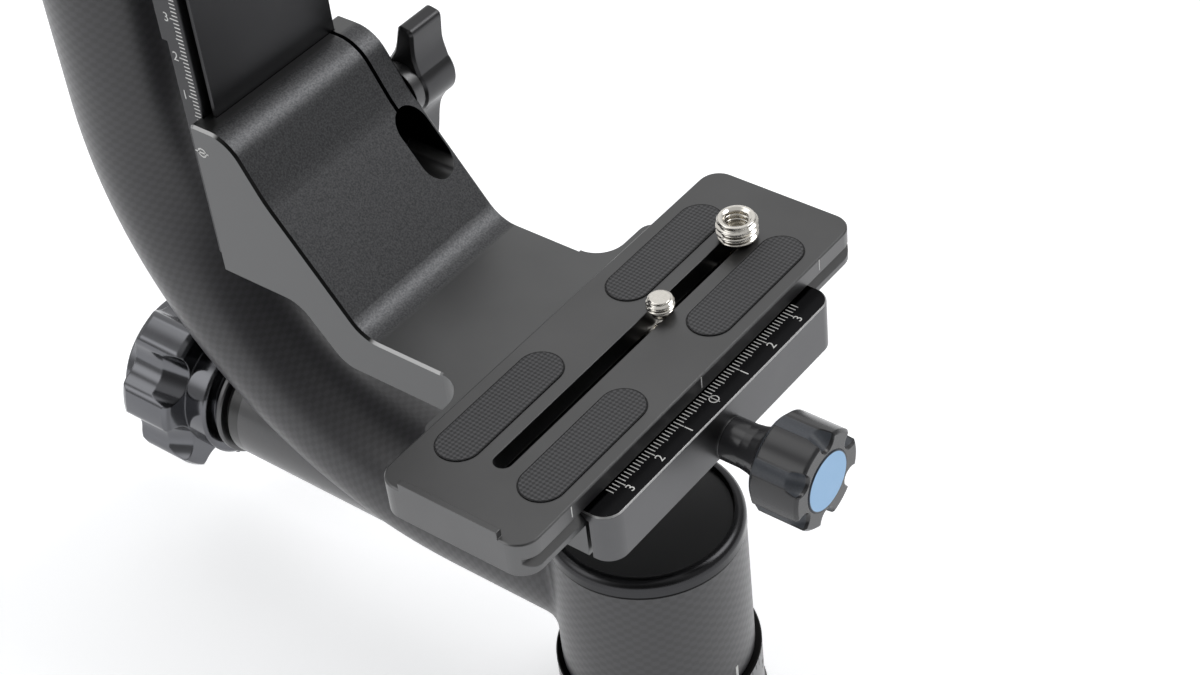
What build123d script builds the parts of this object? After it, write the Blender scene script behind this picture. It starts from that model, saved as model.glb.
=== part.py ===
from build123d import *
import os
from math import cos, pi, sin, sqrt

# Gimbal head for a tripod: a panning base, a hollow J-shaped arm, a tilting rail and a clamped platform.
# Millimetres. +Z is up, +X points from the arm towards the clamp knob, +Y along the camera plate.
# The origin is on the panning axis, in the mouth of the tripod socket.

# ---- fits ----
RUN = 0.05            # radial running clearance of a shaft or a ball
SLIDE = 0.15          # each side of a sliding dovetail
GAP = 0.3             # between faces that turn or part from each other
EDGE = 0.6            # common edge break

# ---- base ----
FOOT_R = 25.0
FOOT_H = 6.0
SOCKET_R = 3.97       # tapped wall of a 3/8"-16 socket
SOCKET_DEPTH = 13.0
BASE_HUB_R = 14.0
BASE_HUB_TOP = 17.0
RING_R = 24.25
RING_WALL = 3.2
RING_TOP = 23.6

# ---- panning spindle and its bearings ----
PAN_SHAFT_R = 8.5
SPINDLE_FLANGE_H = 3.0
PAN_BEARING_R = 13.0
PAN_BEARING_W = 7.0
PAN_BEARING_LOW = 24.6
PAN_BEARING_HIGH = 49.5
PAN_NUT_R = 12.0
PAN_NUT_H = 4.0
NUT_SLOTS = 4
NUT_SLOT = (3.0, 2.5, 2.0)    # radial, across, along; half of the first and last is in the nut
SPINDLE_SCREW_R = 1.5
SPINDLE_SCREW_PCR = 11.7
SPINDLE_SCREW_HEAD_R = 2.2
SPINDLE_SCREW_DEPTH = 8.0
BALLS = 14
RACE_SHARE = 0.2      # race thickness over the bearing's radial section

# ---- panning housing, part of the arm ----
SHELL_R = 22.7
SHELL_WALL = 2.5
SHELL_TOP = 62.4
CAP_R = 22.85
CAP_TOP = 67.1
CAP_DISH_R = 20.2
CAP_DISH_DEPTH = 1.3
CAP_SPIGOT_H = 1.6

# ---- arm ----
TUBE_R = 16.3
TUBE_WALL = 2.5
LEG_Z = 42.5          # axis of the lower leg
BEND_R = 90.0
COLUMN_X = -141.0     # axis of the upright leg
TUBE_BLEND = 5.0

# ---- tilting housing and spindle ----
TILT_Z = 210.0
HUB_R = 24.0
HUB_LEFT = -166.5
HUB_RIGHT = -118.0
TILT_SHAFT_R = 10.0
TILT_BEARING_R = 15.5
TILT_BEARING_W = 8.0
TILT_BEARING_INSET = 2.4
LINER_BORE_MARGIN = 2.0
NUT_SEAT_R = 9.0
TILT_NUT_R = 13.0
TILT_NUT_W = 2.2
FLANGE_R = 22.0
FLANGE_NECK_R = 19.0
FLANGE_NECK_W = 4.0
FRICTION_R = 20.0
FRICTION_W = 1.5
PLATE_W = 3.0
TILT_THREAD_R = 6.0
TILT_THREAD_L = 18.0
TILT_KNOB_SEAT = 20.0     # depth of the tilting knob's thread
TILT_HUB_R = 15.5
TILT_NECK_R = 20.0
TILT_LOBE_R = 28.0
TILT_KNOB_L = 30.0

# ---- shape shared by both lock knobs ----
LOBES = 7
KNOB_HUB_W = 2.3
KNOB_NECK_W = 6.7
VALLEY_R = 0.30           # valley radius over lobe radius
VALLEY_SINK = 0.165       # valley depth over lobe radius
VALLEY_TILT = 22.5        # of the scoop that runs each valley out down to the neck
LOBE_ROUND = 3.0
LOBE_TURN = 40            # degrees from +Y to the first valley
KNOB_FRONT_CURVE = ((2.0, 0), (0.6, 0.6), (0, 2.0))    # in from the lobes' radius, in from their end
KNOB_BACK_CURVE = ((0, 1.6), (0.6, 0.4), (1.6, 0))
FACE_SHARE = 0.81         # radius of the round face over lobe radius
FACE_W = 3.0              # its height in front of the lobes
CAP_SHARE = 0.6           # cap radius over lobe radius
CAP_SINK = 1.2
CAP_W = 1.0

# ---- rail ----
RAIL_BACK = -100.0
RAIL_HEAD_BACK = -101.6   # thicker behind the tilting flange
RAIL_STEP_Z = 171.7
RAIL_SHOULDER = -94.2
RAIL_FACE = -91.7
RAIL_HALF = 20.5
RAIL_LOW = 114.0
RAIL_HIGH = 233.0
RAIL_CORNER = 4.0
DOVETAIL_HALF = 19.0
DOVETAIL_EDGE = 1.0       # square edge of the dovetail before its 45 degree flank
RAIL_SCREW_R = 2.5
RAIL_SCREW_HEAD_R = 4.7
RAIL_SCREW_REACH = 20.0
RAIL_SCREW_SPREAD = 11.0
STOP_HEAD_R = 2.75
STOP_HEAD_H = 1.8
STOP_SCREW_R = 1.5
STOP_SCREW_L = 5.5
STOP_INSET = 3.6          # low stop above the rail's foot
STOP_TOP_INSET = 7.0      # high stop below the rail's head

# ---- bracket ----
BRACKET_HALF = 24.15
BRACKET_BACK = -95.4
BRACKET_TOP = 153.8
BRACKET_LOW = 113.0
PLATFORM_TOP = 112.0
PLATFORM_THICK = 11.8
SLOPE_TOP_X = -84.1       # where the steep face would meet the top
SLOPE_BEND = (-76.2, 140.0)
SLOPE_FOOT_X = -53.8
BELLY_TOP_X = -72.6
BELLY_LOW_X = -61.4
TOP_ROUND = 9.5
BEND_ROUND = 30.0
FOOT_ROUND = 9.0
BELLY_ROUND = 8.0
BACK_ROUND = 1.2
NECK_FILLET = 7.0
SLIT_LOW_Y = 17.3
SLIT_WIDTH = 1.0
SLIT_BOTTOM = 130.0
POCKET_Y = 18.8
POCKET_R = 4.4
POCKET_LOW = 123.6
POCKET_HIGH = 138.5
POCKET_FLOOR = -78.0

# ---- quick-release clamp ----
CLAMP_BACK = -24.1
CLAMP_FRONT = 19.3
CLAMP_HALF = 40.4
CLAMP_BOTTOM = 99.6
CLAMP_CORNER = 3.5
JAW_SLIT = 1.0
JAW_FACE = 25.7
JAW_CORNER = 4.5
GUIDE_PIN_R = 2.0
GUIDE_PIN_Y = 27.0
GUIDE_PIN_IN = 12.0
GUIDE_PIN_OUT = 4.6
SPRING_R = 2.4
SPRING_WIRE_R = 0.35
SPRING_Y = 15.0
SPRING_IN = 7.0
SPRING_OUT = 2.4
SPRING_TURNS = 6

# ---- clamp knob ----
KNOB_Z = 102.7
STUD_R = 3.0
STUD_REACH = 15.0
STUD_KNOB_SEAT = 6.0      # depth of the stud in the knob's body
COLLAR_R = 5.0
COLLAR_W = 0.5
KNOB_NECK_END = 30.8
KNOB_FLARE = ((2.2, 0.35), (4.4, 1.0))    # along and out from the neck's end
KNOB_BACK = 36.9
KNOB_BACK_R = 7.2
KNOB_R = 11.3
KNOB_FRONT = 50.0
KNOB_ROUND = 1.2
KNOB_FLUTES = 6
KNOB_FLUTE_TURN = 27      # degrees from +Y to the first flute
KNOB_FLUTE_R = 3.9
KNOB_FLUTE_SINK = 0.85
KNOB_SCOOP_R = 2.6        # scoop where each flute runs out through the front
KNOB_SCOOP_FLOOR = 7.7    # its distance from the axis in the front face
KNOB_SCOOP_TILT = 34
DISC_R = 7.0
DISC_W = 1.8
DISC_PROUD = 0.2

# ---- wing knob ----
WING_X = -81.2
WING_Z = 137.2
WING_NEAR = 27.0
WING_THICK = 10.7
WING_HUB_R = 7.0
WING_LEAN = 11            # degrees from upright towards +X to the short wing
WING_SHORT = 16.7         # reach of each wing from the axis
WING_LONG = 21.5
WING_FLANK = ((4.6, 4.9), (6.7, 4.0), (8.8, 3.1), (11.0, 2.65))    # out along a wing, half its width
WING_TIP_HALF = 2.1
WING_TIP_ROUND = 1.5
WING_COLLAR_R = 6.5
WING_STUD_R = 2.5
WING_STUD_SEAT = 8.7      # depth of the stud in its knob
WING_STUD_END = 3.0       # where the stud ends inside the bracket

# ---- panning lock ----
LOCK_Z = 40.5             # axis of the lock, a little below the leg's
LOCK_BOSS_R = 14.0
LOCK_SPIGOT_R = 8.0
LOCK_SHAFT_R = 4.0
LOCK_TRAVEL = 1.2
PLUNGER_R = 6.0
PLUNGER_L = 7.5
PAD_W = 3.2
SHAFT_SEAT = 3.3
SEAL_R = 12.6
SEAL_W = 1.0
LOCK_WASHER_R = 15.0
LOCK_WASHER_W = 1.6
LOCK_HUB_R = 13.0
LOCK_NECK_R = 16.8
LOCK_LOBE_R = 23.5
LOCK_KNOB_L = 28.5
LOCK_KNOB_SEAT = 6.0      # how deep the shaft sits in its knob
CLIP_R = 7.0
CLIP_W = 1.0

# ---- camera plate ----
PLATE_X = 0.2
PLATE_Y = -0.15
PLATE_HALF_X = 19.3
PLATE_HALF_Y = 58.85
PLATE_CORNER = 5.0
PLATE_SINK = 3.6          # how far the dovetail reaches below the clamp's top
FLANGE_GAP = 0.95         # between the clamp's top and the plate's flange
FLANGE_H = 4.05
TAIL_EDGE = 1.4
TAIL_FLANK = 2.0
SLOT_HALF = 2.2
SLOT_END = 43.3
RECESS_HALF = 5.6
RECESS_DEPTH = 3.6
LIP_HALF = 12.7
LIP_H = 1.8
LIP_W = 1.4
PAD_X = 10.8
PAD_Y = 28.8
PAD_HALF_X = 5.25
PAD_HALF_Y = 18.4
PAD_SINK = 0.8
PAD_PROUD = 0.2

# ---- camera screws ----
QUARTER_R = 3.175         # 1/4"-20
THREE_EIGHTHS_R = 4.76    # 3/8"-16
STEM_R = 2.0
HEAD_R = 5.2
HEAD_H = 2.4
COIN_SLOT = 1.4           # width and depth of the slot under a head
SCREW_WASHER_W = 0.45
QUARTER_SCREW_Y = 12.4
SCREW_FOOT_GAP = 0.6      # thread start above the plate
QUARTER_RISE = 3.8        # tops above the plate
BUSH_RISE = 5.8
BUSH_SCREW_RISE = 3.2

# ---- derived places ----
SHELL_LOW = RING_TOP + GAP
SHELL_BORE = SHELL_R - SHELL_WALL
HUB_BORE = HUB_R - SHELL_WALL
BEND_X = COLUMN_X + BEND_R
BEND_Z = LEG_Z + BEND_R
PAN_NUT_LOW = PAN_BEARING_HIGH + PAN_BEARING_W
FLANGE_LEFT = HUB_RIGHT + GAP
TILT_BEARING_RIGHT = HUB_RIGHT - GAP
TILT_BEARING_LEFT = HUB_LEFT + TILT_BEARING_INSET
FRICTION_END = HUB_LEFT - FRICTION_W
PRESSURE_END = FRICTION_END - GAP - PLATE_W
TILT_KNOB_START = PRESSURE_END - GAP
PAD_TIP = -PAN_SHAFT_R - GAP
PLUNGER_FRONT = PAD_TIP - PAD_W
PLUNGER_BACK = PLUNGER_FRONT - PLUNGER_L
JAW_BACK = CLAMP_FRONT + JAW_SLIT
PLATE_BOTTOM = PLATFORM_TOP - PLATE_SINK
FLANGE_LOW = PLATFORM_TOP + FLANGE_GAP
PLATE_TOP = FLANGE_LOW + FLANGE_H
RECESS_TOP = PLATE_BOTTOM + RECESS_DEPTH
CHANNEL_FLOOR = PLATE_BOTTOM - SLIDE


def behind_bend(radius, height):
    """X of a circle about the bend's centre, on the arm's back, at a height."""
    return BEND_X - sqrt(radius ** 2 - (BEND_Z - height) ** 2)


# the boss ends where its washer clears the arm's back; its spigot, where its clip clears the arm's inner wall
LOCK_BOSS_END = behind_bend(BEND_R + TUBE_R, LOCK_Z + LOCK_WASHER_R) + SEAL_W
LOCK_SPIGOT_END = behind_bend(BEND_R + TUBE_R - TUBE_WALL, LOCK_Z - CLIP_R - GAP)
SEAL_START = LOCK_BOSS_END - GAP
LOCK_WASHER_START = SEAL_START - SEAL_W
LOCK_KNOB_START = LOCK_WASHER_START - LOCK_WASHER_W
BUSH_SCREW_Y = PLATE_Y + SLOT_END - STEM_R - SLIDE    # at the slot's far end


# ---- shape helpers ----
def plane_along(axis, place, centre):
    """Plane square to an axis at a place; centre gives the other two coordinates in X, Y, Z order."""
    a, b = centre
    if axis == "X":
        return Plane(origin=(place, a, b), x_dir=(0, 1, 0), z_dir=(1, 0, 0))
    if axis == "Y":
        return Plane(origin=(a, place, b), x_dir=(0, 0, 1), z_dir=(0, 1, 0))
    return Plane(origin=(a, b, place), x_dir=(1, 0, 0), z_dir=(0, 0, 1))


def prism(sketch, low, high, axis="Z", centre=(0, 0)):
    """Extrude a sketch between two places on an axis."""
    return extrude(plane_along(axis, low, centre) * sketch, high - low)


def bar(radius, low, high, axis="Z", centre=(0, 0)):
    return prism(Circle(radius), low, high, axis, centre)


def ring(inner, outer, low, high, axis="Z", centre=(0, 0)):
    return prism(Circle(outer) - Circle(inner), low, high, axis, centre)


def block(low, high):
    size = [b - a for a, b in zip(low, high)]
    middle = [(a + b) / 2 for a, b in zip(low, high)]
    return Pos(*middle) * Box(*size)


def turned(points, axis="Z", centre=(0, 0)):
    """Turn a closed outline of (radius, place along the axis) points about an axis."""
    face = make_face(Plane.XZ * Polyline(*points, close=True))
    solid = revolve(face, Axis.Z)
    a, b = centre
    if axis == "X":
        return Pos(0, a, b) * Rot(0, 90, 0) * solid
    if axis == "Y":
        return Pos(a, 0, b) * Rot(-90, 0, 0) * solid
    return Pos(a, b, 0) * solid


def biggest(shape):
    return max(shape.solids(), key=lambda solid: solid.volume)


def spanner_slots(radius, plane):
    """The notches round a ring nut's face."""
    return [plane * location * Box(*NUT_SLOT) for location in PolarLocations(radius, NUT_SLOTS)]


def tilted_bar(floor, radius, tilt, length):
    """Bar that leans in towards the axis as it runs along it; its lowest line passes at floor."""
    return Pos(floor, 0, 0) * Rot(0, -tilt, 0) * Pos(radius, 0, 0) * Cylinder(radius, length)


def around(plane, shape, count, first):
    """Copies of a shape about a plane's normal, the first one turned by some degrees."""
    return [plane * Rot(0, 0, first + turn * 360 / count) * shape for turn in range(count)]


def save(name, *solids):
    shape = solids[0] if len(solids) == 1 else Compound(children=list(solids))
    shape.label = name
    export_step(shape, f"parts/{name}.step")


# ---- bearings ----
def bearing(inner, outer, low, width, axis="Z", centre=(0, 0)):
    """Inner race, outer race and balls of a ball bearing."""
    race = (outer - inner) * RACE_SHARE
    inner_race = ring(inner, inner + race, low, low + width, axis, centre)
    outer_race = ring(outer - race, outer, low, low + width, axis, centre)
    ball_r = (outer - inner) / 2 - race - RUN
    pitch_r = (outer + inner) / 2
    middle = plane_along(axis, low + width / 2, centre)
    balls = []
    for location in PolarLocations(pitch_r, BALLS):
        balls.append(middle * location * Sphere(ball_r))
    return inner_race, outer_race, balls


def save_bearings(name, bearings):
    save(f"{name}_bearing_inner_races", *[b[0] for b in bearings])
    save(f"{name}_bearing_outer_races", *[b[1] for b in bearings])
    save(f"{name}_bearing_balls", *[ball for b in bearings for ball in b[2]])


# ---- base ----
def spindle_screw_places():
    return [location.position for location in PolarLocations(SPINDLE_SCREW_PCR, 4, start_angle=45)]


def pan_base():
    body = bar(FOOT_R, 0, FOOT_H)
    body = chamfer(body.edges().filter_by(GeomType.CIRCLE), EDGE)
    body += bar(BASE_HUB_R, FOOT_H, BASE_HUB_TOP)
    body -= bar(SOCKET_R, 0, SOCKET_DEPTH)
    hole_low = BASE_HUB_TOP - SPINDLE_SCREW_DEPTH
    for place in spindle_screw_places():
        body -= bar(SPINDLE_SCREW_R, hole_low, BASE_HUB_TOP, "Z", (place.X, place.Y))
    return body


def pan_scale_ring():
    body = ring(RING_R - RING_WALL, RING_R, FOOT_H, RING_TOP)
    top_edge = body.edges().filter_by(GeomType.CIRCLE).group_by(Axis.Z)[-1].sort_by(SortBy.RADIUS)[-1]
    return chamfer(top_edge, EDGE / 2)


def pan_spindle():
    flange_top = BASE_HUB_TOP + SPINDLE_FLANGE_H
    body = bar(BASE_HUB_R, BASE_HUB_TOP, flange_top)
    body += bar(PAN_SHAFT_R + (PAN_BEARING_R - PAN_SHAFT_R) * RACE_SHARE, flange_top, PAN_BEARING_LOW)
    body += bar(PAN_SHAFT_R, flange_top, PAN_NUT_LOW + PAN_NUT_H)
    for place in spindle_screw_places():
        body -= bar(SPINDLE_SCREW_R, BASE_HUB_TOP, flange_top, "Z", (place.X, place.Y))
    return body


def spindle_screws():
    flange_top = BASE_HUB_TOP + SPINDLE_FLANGE_H
    low = BASE_HUB_TOP - SPINDLE_SCREW_DEPTH
    screws = []
    for place in spindle_screw_places():
        at = (place.X, place.Y)
        shank = bar(SPINDLE_SCREW_R, low + EDGE, flange_top, "Z", at)
        screws.append(shank + bar(SPINDLE_SCREW_HEAD_R, flange_top, flange_top + SPINDLE_SCREW_R, "Z", at))
    return screws


def pan_retaining_nut():
    race_r = PAN_SHAFT_R + (PAN_BEARING_R - PAN_SHAFT_R) * RACE_SHARE
    body = bar(race_r, PAN_NUT_LOW, PAN_NUT_LOW + GAP)
    body += bar(PAN_NUT_R, PAN_NUT_LOW + GAP, PAN_NUT_LOW + PAN_NUT_H)
    body -= bar(PAN_SHAFT_R, PAN_NUT_LOW, PAN_NUT_LOW + PAN_NUT_H)
    return body - spanner_slots(PAN_NUT_R, Plane.XY.offset(PAN_NUT_LOW + PAN_NUT_H))


# ---- arm ----
def arm_path(start_x, end_z):
    lower = Line((start_x, 0, LEG_Z), (BEND_X, 0, LEG_Z))
    middle = (BEND_X - BEND_R * sin(pi / 4), 0, BEND_Z - BEND_R * cos(pi / 4))
    bend = ThreePointArc((BEND_X, 0, LEG_Z), middle, (COLUMN_X, 0, BEND_Z))
    upper = Line((COLUMN_X, 0, BEND_Z), (COLUMN_X, 0, end_z))
    return Wire([lower.edge(), bend.edge(), upper.edge()])


def arm_tube(radius, start_x, end_z):
    section = Plane(origin=(start_x, 0, LEG_Z), z_dir=(-1, 0, 0)) * Circle(radius)
    return sweep(section, path=arm_path(start_x, end_z))


def junction_edges(body):
    """The two seams where the tube runs into its housings."""
    seams = []
    for edge in body.edges():
        if edge.geom_type in (GeomType.LINE, GeomType.CIRCLE):
            continue
        seams.append(edge)
    return seams


def carbon_arm():
    body = bar(SHELL_R, SHELL_LOW, SHELL_TOP)
    body += bar(HUB_R, HUB_LEFT, HUB_RIGHT, "X", (0, TILT_Z))
    body += arm_tube(TUBE_R, -SHELL_BORE / 2, TILT_Z)
    body = fillet(junction_edges(body), TUBE_BLEND)
    body -= arm_tube(TUBE_R - TUBE_WALL, -SHELL_BORE / 2, TILT_Z)
    body -= bar(SHELL_BORE, SHELL_LOW, SHELL_TOP)
    body -= bar(HUB_BORE, HUB_LEFT, HUB_RIGHT, "X", (0, TILT_Z))
    body -= bar(LOCK_SPIGOT_R, LOCK_BOSS_END, LOCK_SPIGOT_END, "X", (0, LOCK_Z))
    return biggest(body)


def pan_housing_liner():
    shoulder_r = PAN_BEARING_R - LINER_BORE_MARGIN + EDGE
    body = ring(shoulder_r, SHELL_BORE, SHELL_LOW, SHELL_TOP)
    body -= bar(PAN_BEARING_R, SHELL_LOW, PAN_BEARING_LOW + PAN_BEARING_W)
    body -= bar(PAN_BEARING_R, PAN_BEARING_HIGH, SHELL_TOP)
    body -= bar(PLUNGER_R + RUN, -SHELL_BORE - EDGE, 0, "X", (0, LOCK_Z))
    return body


def pan_cap():
    seam_z = SHELL_TOP + RUN
    body = bar(CAP_R, seam_z, CAP_TOP)
    outer_rim = body.edges().group_by(Axis.Z)[-1]
    body = fillet(outer_rim, CAP_R - CAP_DISH_R - EDGE / 2)
    body -= bar(CAP_DISH_R, CAP_TOP - CAP_DISH_DEPTH, CAP_TOP)
    spigot = bar(PAN_BEARING_R - RUN, seam_z - CAP_SPIGOT_H, seam_z)
    spigot -= bar(PAN_NUT_R + GAP, seam_z - CAP_SPIGOT_H, seam_z)
    return body + spigot


# ---- tilting housing ----
def tilt_housing_liner():
    shoulder_r = TILT_BEARING_R - LINER_BORE_MARGIN
    at = (0, TILT_Z)
    body = ring(shoulder_r, HUB_BORE, HUB_LEFT, HUB_RIGHT, "X", at)
    body -= bar(TILT_BEARING_R, HUB_LEFT, TILT_BEARING_LEFT + TILT_BEARING_W, "X", at)
    body -= bar(TILT_BEARING_R, TILT_BEARING_RIGHT - TILT_BEARING_W, HUB_RIGHT, "X", at)
    return body


def rail_screw_places():
    sides = (-RAIL_SCREW_SPREAD, RAIL_SCREW_SPREAD)
    return [(y, TILT_Z + z) for y in sides for z in sides]


def tilt_spindle():
    at = (0, TILT_Z)
    body = bar(FLANGE_NECK_R, FLANGE_LEFT, FLANGE_LEFT + FLANGE_NECK_W, "X", at)
    disc = bar(FLANGE_R, FLANGE_LEFT + FLANGE_NECK_W, RAIL_HEAD_BACK, "X", at)
    body += chamfer(disc.edges().filter_by(GeomType.CIRCLE), EDGE)
    race_r = TILT_SHAFT_R + (TILT_BEARING_R - TILT_SHAFT_R) * RACE_SHARE
    body += bar(race_r, TILT_BEARING_RIGHT, FLANGE_LEFT, "X", at)
    body += bar(TILT_SHAFT_R, TILT_BEARING_LEFT, TILT_BEARING_RIGHT, "X", at)
    body += bar(NUT_SEAT_R, PRESSURE_END + RUN, TILT_BEARING_LEFT, "X", at)
    thread = bar(TILT_THREAD_R, TILT_KNOB_START - TILT_THREAD_L, PRESSURE_END + RUN, "X", at)
    body += chamfer(thread.edges().group_by(Axis.X)[0], EDGE)
    for place in rail_screw_places():
        body -= bar(RAIL_SCREW_R, RAIL_FACE - RAIL_SCREW_REACH - EDGE, RAIL_HEAD_BACK, "X", place)
    return body


def tilt_retaining_nut():
    left = TILT_BEARING_LEFT - TILT_NUT_W
    body = ring(NUT_SEAT_R, TILT_NUT_R, left, TILT_BEARING_LEFT, "X", (0, TILT_Z))
    return body - spanner_slots(TILT_NUT_R, plane_along("X", left, (0, TILT_Z)))


# ---- rail ----
def dovetail(half, edge, flank, clearance=0.0):
    """Half-closed dovetail, face at 0 and root at -(edge + flank), grown by a clearance all round."""
    wide = half + clearance
    root = -(edge + flank)
    corner = -edge - clearance * (sqrt(2) - 1)
    right = [(wide, clearance), (wide, corner), (wide - (corner - root), root)]
    left = [(-x, y) for x, y in reversed(right)]
    return make_face(Polyline(*right, *left, close=True))


def rail_dovetail(low, high, clearance=0.0):
    """The rail's dovetail, or the channel that holds it."""
    flank = RAIL_FACE - RAIL_SHOULDER - DOVETAIL_EDGE
    sketch = dovetail(DOVETAIL_HALF, DOVETAIL_EDGE, flank, clearance)
    plane = Plane(origin=(RAIL_FACE, 0, low), x_dir=(0, -1, 0), z_dir=(0, 0, 1))
    return extrude(plane * sketch, high - low)


def stop_places():
    return [(0, RAIL_LOW + STOP_INSET), (0, RAIL_HIGH - STOP_TOP_INSET)]


def rail():
    slab = block((RAIL_BACK, -RAIL_HALF, RAIL_LOW), (RAIL_SHOULDER, RAIL_HALF, RAIL_HIGH))
    slab += block((RAIL_HEAD_BACK, -RAIL_HALF, RAIL_STEP_Z), (RAIL_BACK, RAIL_HALF, RAIL_HIGH))
    slab = fillet(slab.edges().filter_by(Axis.X).group_by(Axis.Z)[-1], RAIL_CORNER)
    shoulder = slab.edges().filter_by(Axis.Z).group_by(Axis.X)[-1]
    slab = fillet(shoulder, EDGE)
    body = slab + rail_dovetail(RAIL_LOW, RAIL_HIGH - RAIL_CORNER)
    sink = RAIL_SCREW_HEAD_R - RAIL_SCREW_R
    countersink = Cone(RAIL_SCREW_R + RUN, RAIL_SCREW_HEAD_R + RUN, sink)
    for place in rail_screw_places():
        body -= bar(RAIL_SCREW_R + RUN, RAIL_HEAD_BACK, RAIL_FACE, "X", place)
        body -= plane_along("X", RAIL_FACE - sink / 2, place) * countersink
    for place in stop_places():
        body -= bar(STOP_SCREW_R, RAIL_FACE - STOP_SCREW_L, RAIL_FACE, "X", place)
    return body


def rail_screws():
    screws = []
    sink = RAIL_SCREW_HEAD_R - RAIL_SCREW_R
    for place in rail_screw_places():
        body = bar(RAIL_SCREW_R, RAIL_FACE - RAIL_SCREW_REACH, RAIL_FACE - sink, "X", place)
        body += plane_along("X", RAIL_FACE - sink / 2, place) * Cone(RAIL_SCREW_R, RAIL_SCREW_HEAD_R, sink)
        hexagon = RegularPolygon(RAIL_SCREW_R * 0.7, 6)
        screws.append(body - prism(hexagon, RAIL_FACE - sink, RAIL_FACE, "X", place))
    return screws


def rail_stop_screws():
    screws = []
    for place in stop_places():
        body = bar(STOP_SCREW_R, RAIL_FACE - STOP_SCREW_L + EDGE, RAIL_FACE, "X", place)
        screws.append(body + bar(STOP_HEAD_R, RAIL_FACE, RAIL_FACE + STOP_HEAD_H, "X", place))
    return screws


# ---- tilting lock ----
def tilt_friction_washer():
    return ring(TILT_NUT_R + EDGE, FRICTION_R, FRICTION_END, HUB_LEFT, "X", (0, TILT_Z))


def tilt_pressure_plate():
    body = ring(NUT_SEAT_R + RUN, FRICTION_R + 1.0, PRESSURE_END, FRICTION_END - GAP, "X", (0, TILT_Z))
    return chamfer(body.edges().filter_by(GeomType.CIRCLE).sort_by(SortBy.RADIUS)[-2:], EDGE)


def lobed(radius, lobes, valley_r, valley_sink, round_r):
    """Disc with a scooped valley between each pair of lobes."""
    sketch = Circle(radius)
    for location in PolarLocations(radius + valley_r - valley_sink, lobes):
        sketch -= location * Circle(valley_r)
    return fillet(sketch.vertices(), round_r)


def lobes(low, high, centre, neck_r, lobe_r):
    """The star of a knob that faces -X; its valleys run out down to the neck at the high end."""
    star = Rot(0, 0, LOBE_TURN) * lobed(lobe_r, LOBES, lobe_r * VALLEY_R, lobe_r * VALLEY_SINK, LOBE_ROUND)
    front = [(lobe_r - out, low + along) for out, along in KNOB_FRONT_CURVE]
    back = [(lobe_r - out, high - along) for out, along in KNOB_BACK_CURVE]
    envelope = turned([(0, low), *front, *back, (0, high)], "X", centre)
    scoop = tilted_bar(neck_r, lobe_r * VALLEY_R, VALLEY_TILT, 2 * (high - low))
    scoops = around(plane_along("X", high, centre), scoop, LOBES, LOBE_TURN)
    return (prism(star, low, high, "X", centre) & envelope) - scoops


def lock_knob(start, length, centre, hub_r, neck_r, lobe_r):
    """Star knob that faces -X: a hub against its washer, a smooth neck, lobes and a round face."""
    neck_start = start - KNOB_HUB_W
    lobe_start = neck_start - KNOB_NECK_W
    end = start - length
    face = bar(lobe_r * FACE_SHARE, end, end + FACE_W, "X", centre)
    neck = bar(neck_r, lobe_start, neck_start, "X", centre)
    body = lobes(end + FACE_W, lobe_start, centre, neck_r, lobe_r)
    body += fillet(face.edges().group_by(Axis.X)[0], EDGE)
    body += chamfer(neck.edges().filter_by(GeomType.CIRCLE).group_by(Axis.X)[-1], EDGE)
    body += bar(hub_r, neck_start, start, "X", centre)
    return body - bar(lobe_r * CAP_SHARE, end, end + CAP_SINK, "X", centre)


def lock_knob_cap(start, length, centre, lobe_r):
    seat = start - length + CAP_SINK
    return bar(lobe_r * CAP_SHARE - RUN, seat - CAP_W, seat, "X", centre)


def tilt_lock_knob():
    at = (0, TILT_Z)
    body = lock_knob(TILT_KNOB_START, TILT_KNOB_L, at, TILT_HUB_R, TILT_NECK_R, TILT_LOBE_R)
    return body - bar(TILT_THREAD_R + RUN, TILT_KNOB_START - TILT_KNOB_SEAT, TILT_KNOB_START, "X", at)


# ---- panning lock ----
def pan_lock_knob():
    at = (0, LOCK_Z)
    body = lock_knob(LOCK_KNOB_START, LOCK_KNOB_L, at, LOCK_HUB_R, LOCK_NECK_R, LOCK_LOBE_R)
    return body - bar(LOCK_SHAFT_R, LOCK_KNOB_START - LOCK_KNOB_SEAT, LOCK_KNOB_START, "X", at)


def lock_boss():
    at = (0, LOCK_Z)
    body = bar(LOCK_BOSS_R, LOCK_BOSS_END, BEND_X, "X", at)
    rim = body.edges().filter_by(GeomType.CIRCLE).group_by(Axis.X)[0]
    body = chamfer(rim, EDGE)
    body = biggest(body - arm_tube(TUBE_R, -SHELL_BORE / 2, TILT_Z))
    body += bar(LOCK_SPIGOT_R, LOCK_BOSS_END + EDGE, LOCK_SPIGOT_END, "X", at)
    return body - bar(LOCK_SHAFT_R + RUN, LOCK_BOSS_END, LOCK_SPIGOT_END, "X", at)


def pan_brake_plunger():
    at = (0, LOCK_Z)
    body = bar(PLUNGER_R, PLUNGER_BACK, PLUNGER_FRONT, "X", at)
    return body - bar(LOCK_SHAFT_R + RUN, PLUNGER_BACK, PLUNGER_BACK + SHAFT_SEAT, "X", at)


def pan_brake_pad():
    body = bar(PLUNGER_R - SLIDE, PLUNGER_FRONT, 0, "X", (0, LOCK_Z))
    return biggest(body - bar(-PAD_TIP, LOCK_Z - 2 * PLUNGER_R, LOCK_Z + 2 * PLUNGER_R))


def pan_lock_shaft():
    low = LOCK_KNOB_START - LOCK_KNOB_SEAT
    return bar(LOCK_SHAFT_R, low, PLUNGER_BACK + SHAFT_SEAT - RUN, "X", (0, LOCK_Z))


def pan_shaft_clip():
    inner_end = LOCK_SPIGOT_END + LOCK_TRAVEL + GAP
    return ring(LOCK_SHAFT_R, CLIP_R, inner_end, inner_end + CLIP_W, "X", (0, LOCK_Z))


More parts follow.
